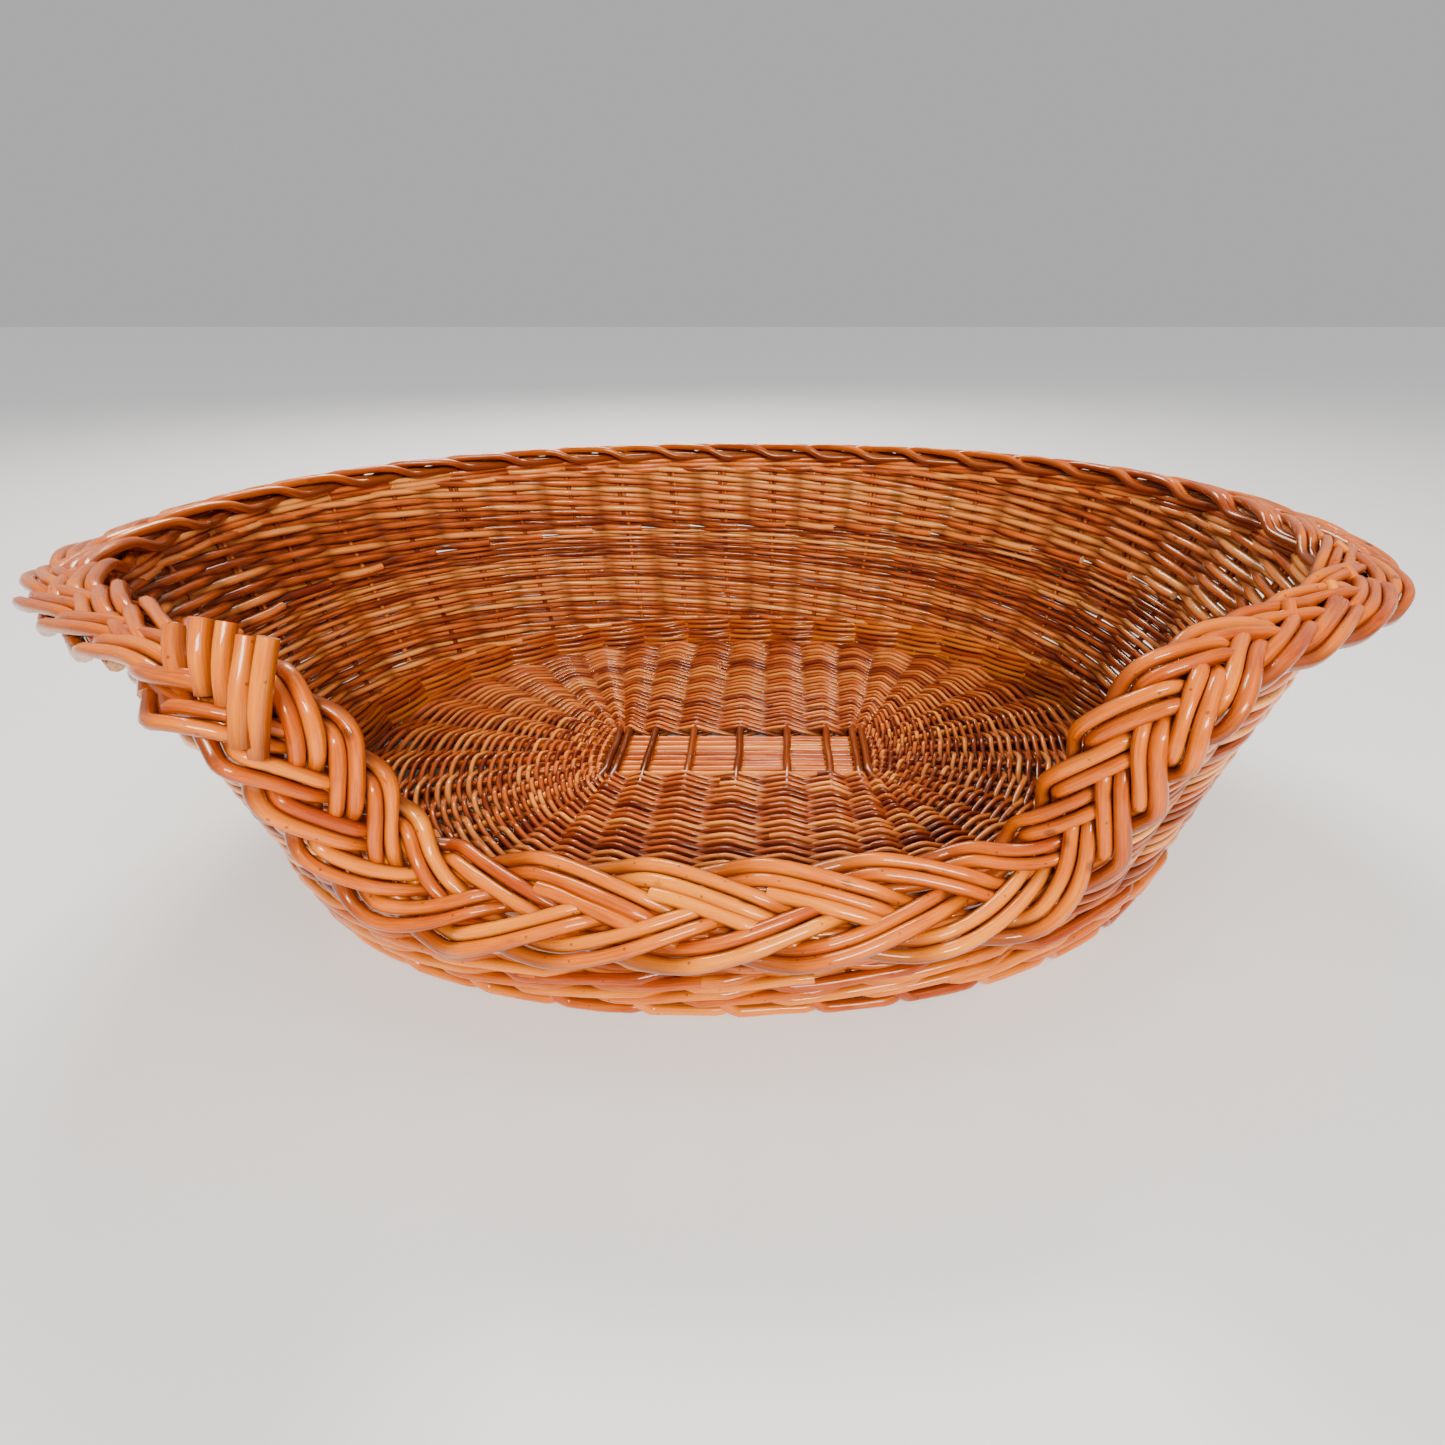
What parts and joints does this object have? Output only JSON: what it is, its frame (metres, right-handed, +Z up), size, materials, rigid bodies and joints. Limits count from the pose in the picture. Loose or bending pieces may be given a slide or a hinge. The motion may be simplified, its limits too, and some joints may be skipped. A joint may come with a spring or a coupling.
{
  "type": "wicker pet bed basket",
  "caption": "Oval willow pet bed basket: woven base and leaning wall on upright stakes, plaited border, and a lowered entrance in the front.",
  "frame": {"origin": "on the floor, under the middle of the basket's box", "axes": "+X along the basket's length, to the right as seen from the entrance; -Y out of the entrance; +Z up"},
  "size_m": [0.7586, 0.5422, 0.2216],
  "materials": {
    "base_willow": "glossy varnish",
    "stick_willow": "glossy varnish",
    "wall_willow": "glossy varnish",
    "border_willow": "glossy varnish"
  },
  "bodies": {
    "root": {"base_weave_inner": "base_willow", "base_weave_outer": "base_willow", "base_edge_rows": "base_willow", "base_cross_stick_1": "stick_willow", "base_cross_stick_2": "stick_willow", "base_cross_stick_3": "stick_willow", "base_cross_stick_4": "stick_willow", "base_cross_stick_5": "stick_willow", "base_cross_stick_6": "stick_willow", "base_cross_stick_7": "stick_willow", "base_cross_stick_8": "stick_willow", "base_cross_stick_9": "stick_willow", "base_long_sticks": "stick_willow", "wall_waling": "wall_willow", "wall_lower_randing": "wall_willow", "wall_upper_randing": "wall_willow", "stake_1": "wall_willow", "stake_2": "wall_willow", "stake_3": "wall_willow", "stake_4": "wall_willow", "stake_5": "wall_willow", "stake_6": "wall_willow", "stake_7": "wall_willow", "stake_8": "wall_willow", "stake_9": "wall_willow", "stake_10": "wall_willow", "stake_11": "wall_willow", "stake_12": "wall_willow", "stake_13": "wall_willow", "stake_14": "wall_willow", "stake_15": "wall_willow", "stake_16": "wall_willow", "stake_17": "wall_willow", "stake_18": "wall_willow", "stake_19": "wall_willow", "stake_20": "wall_willow", "stake_21": "wall_willow", "stake_22": "wall_willow", "stake_23": "wall_willow", "stake_24": "wall_willow", "stake_25": "wall_willow", "stake_26": "wall_willow", "stake_27": "wall_willow", "stake_28": "wall_willow", "stake_29": "wall_willow", "stake_30": "wall_willow", "stake_31": "wall_willow", "stake_32": "wall_willow", "stake_33": "wall_willow", "stake_34": "wall_willow", "stake_35": "wall_willow", "stake_36": "wall_willow", "stake_37": "wall_willow", "stake_38": "wall_willow", "border_back": "border_willow", "border_arm_left": "border_willow", "border_arm_right": "border_willow", "border_sill": "border_willow", "foot_border": "border_willow"}
  },
  "joints": []
}
